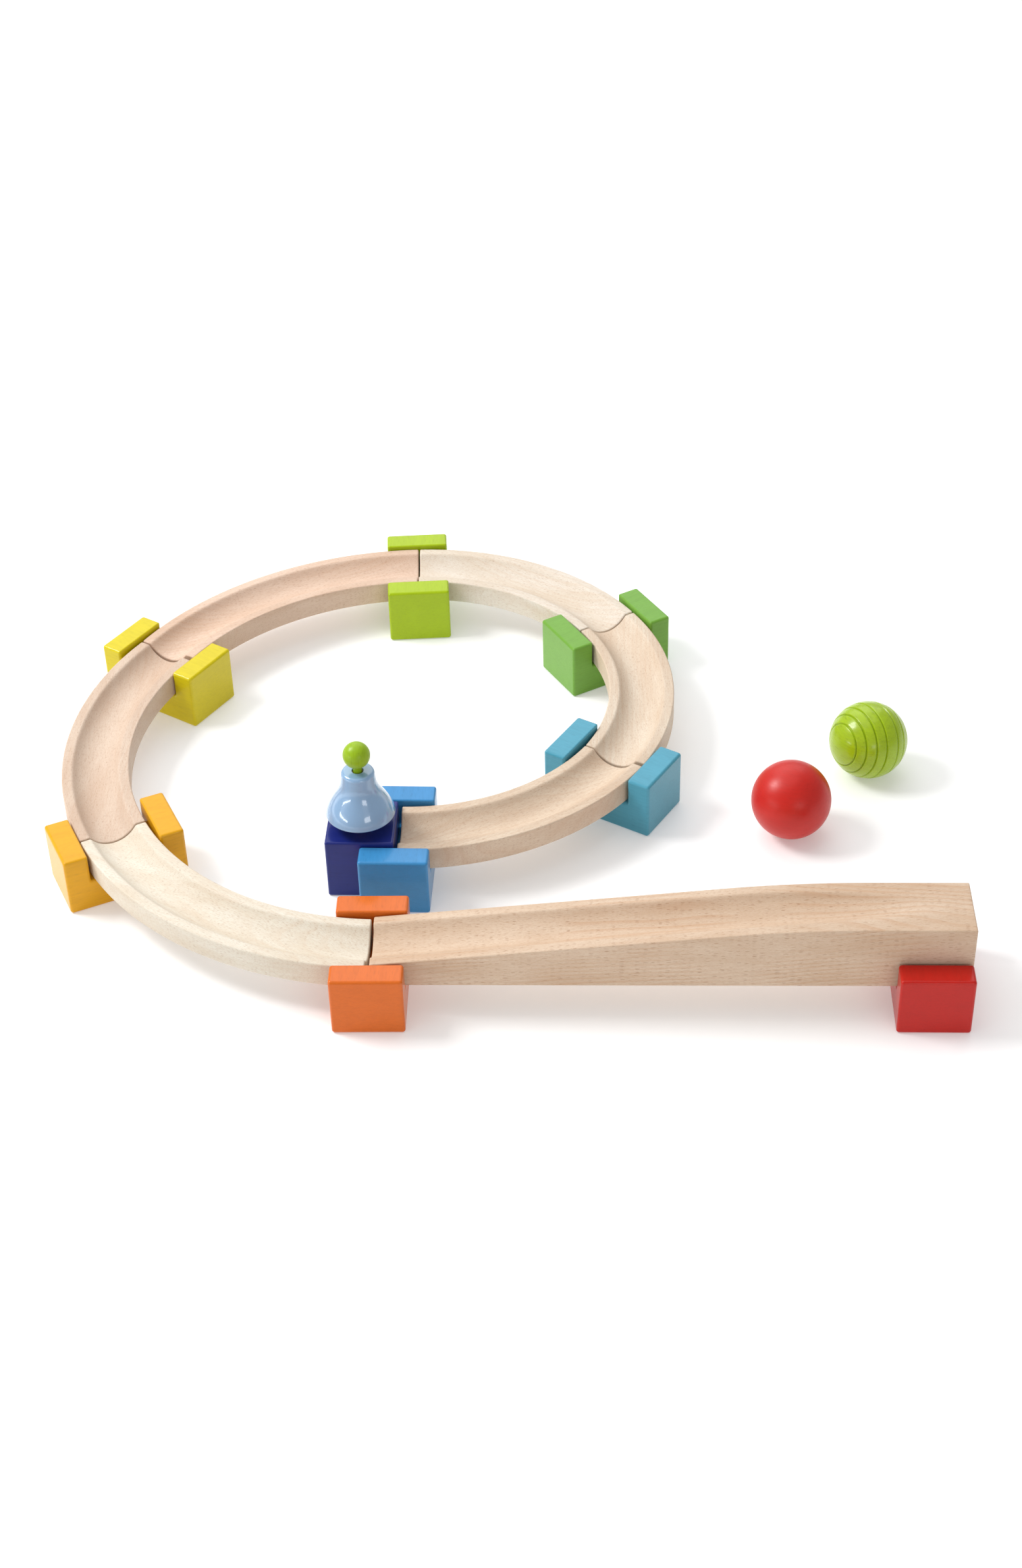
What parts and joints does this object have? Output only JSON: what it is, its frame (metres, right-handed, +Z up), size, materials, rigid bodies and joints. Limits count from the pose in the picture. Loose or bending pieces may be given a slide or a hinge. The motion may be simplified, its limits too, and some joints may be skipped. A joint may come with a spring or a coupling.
{
  "type": "marble run",
  "caption": "Toddler's floor ball track: sloping ramp and curved grooved beech pieces in slotted coloured blocks, spiralling in to a bell that the rolling ball rings.",
  "frame": {"origin": "middle of the underside of the orange block, where the ramp meets the spiral, on the floor", "axes": "+X runs along the ramp towards its high end, +Z is up, +Y points from the ramp across the spiral"},
  "size_m": [0.5287, 0.4547, 0.0966],
  "materials": {
    "beech_ramp": "sanded, clear oil",
    "beech_curve": "sanded, clear oil",
    "lacquer_orange": "stained and lacquered",
    "lacquer_red": "stained and lacquered",
    "lacquer_amber": "stained and lacquered",
    "lacquer_yellow": "stained and lacquered",
    "lacquer_lime": "stained and lacquered",
    "lacquer_green": "stained and lacquered",
    "lacquer_sky": "stained and lacquered",
    "lacquer_blue": "stained and lacquered",
    "lacquer_navy": "stained and lacquered",
    "sleeve_wood": "plain turned",
    "bell_enamel": "glossy enamel",
    "lacquer_peg": "stained and lacquered",
    "ball_red_gloss": "high gloss",
    "ball_green_gloss": "high gloss"
  },
  "bodies": {
    "supports": {"support_orange": "lacquer_orange", "support_red": "lacquer_red", "support_amber": "lacquer_amber", "support_yellow": "lacquer_yellow", "support_lime": "lacquer_lime", "support_green": "lacquer_green", "support_sky": "lacquer_sky", "support_blue": "lacquer_blue"},
    "ramp": {"ramp": "beech_ramp"},
    "curve_large_1": {"curve_large_1": "beech_curve"},
    "curve_large_2": {"curve_large_2": "beech_curve"},
    "curve_large_3": {"curve_large_3": "beech_curve"},
    "curve_small_1": {"curve_small_1": "beech_curve"},
    "curve_small_2": {"curve_small_2": "beech_curve"},
    "curve_small_3": {"curve_small_3": "beech_curve"},
    "bell_stand": {"bell_block": "lacquer_navy", "bell_sleeve": "sleeve_wood", "bell_peg": "lacquer_peg"},
    "bell": {"bell": "bell_enamel"},
    "ball_red": {"ball_red": "ball_red_gloss"},
    "ball_green": {"ball_green": "ball_green_gloss"}
  },
  "joints": [
    {"name": "ramp_lift", "type": "slide", "parent": "supports", "child": "ramp", "axis": [0, 0, 1], "range_m": [0, 0.05]},
    {"name": "curve_large_1_lift", "type": "slide", "parent": "supports", "child": "curve_large_1", "axis": [0, 0, 1], "range_m": [0, 0.05]},
    {"name": "curve_large_2_lift", "type": "slide", "parent": "supports", "child": "curve_large_2", "axis": [0, 0, 1], "range_m": [0, 0.05]},
    {"name": "curve_large_3_lift", "type": "slide", "parent": "supports", "child": "curve_large_3", "axis": [0, 0, 1], "range_m": [0, 0.05]},
    {"name": "curve_small_1_lift", "type": "slide", "parent": "supports", "child": "curve_small_1", "axis": [0, 0, 1], "range_m": [0, 0.05]},
    {"name": "curve_small_2_lift", "type": "slide", "parent": "supports", "child": "curve_small_2", "axis": [0, 0, 1], "range_m": [0, 0.05]},
    {"name": "curve_small_3_lift", "type": "slide", "parent": "supports", "child": "curve_small_3", "axis": [0, 0, 1], "range_m": [0, 0.05]},
    {"name": "bell_stand_lift", "type": "slide", "parent": "supports", "child": "bell_stand", "axis": [0, 0, 1], "range_m": [0, 0.05]},
    {"name": "bell_rock", "type": "hinge", "parent": "bell_stand", "child": "bell", "pos_m": [-0.01119, 0.09898, 0.0766], "axis": [0, 1, 0], "range_deg": [-4, 4]},
    {"name": "ball_red_roll", "type": "hinge", "parent": "supports", "child": "ball_red", "pos_m": [0.2417, 0.1391, 0.0238], "axis": [0, 1, 0], "continuous": true},
    {"name": "ball_green_roll", "type": "hinge", "parent": "supports", "child": "ball_green", "pos_m": [0.2928, 0.198, 0.0238], "axis": [0, 1, 0], "continuous": true}
  ]
}
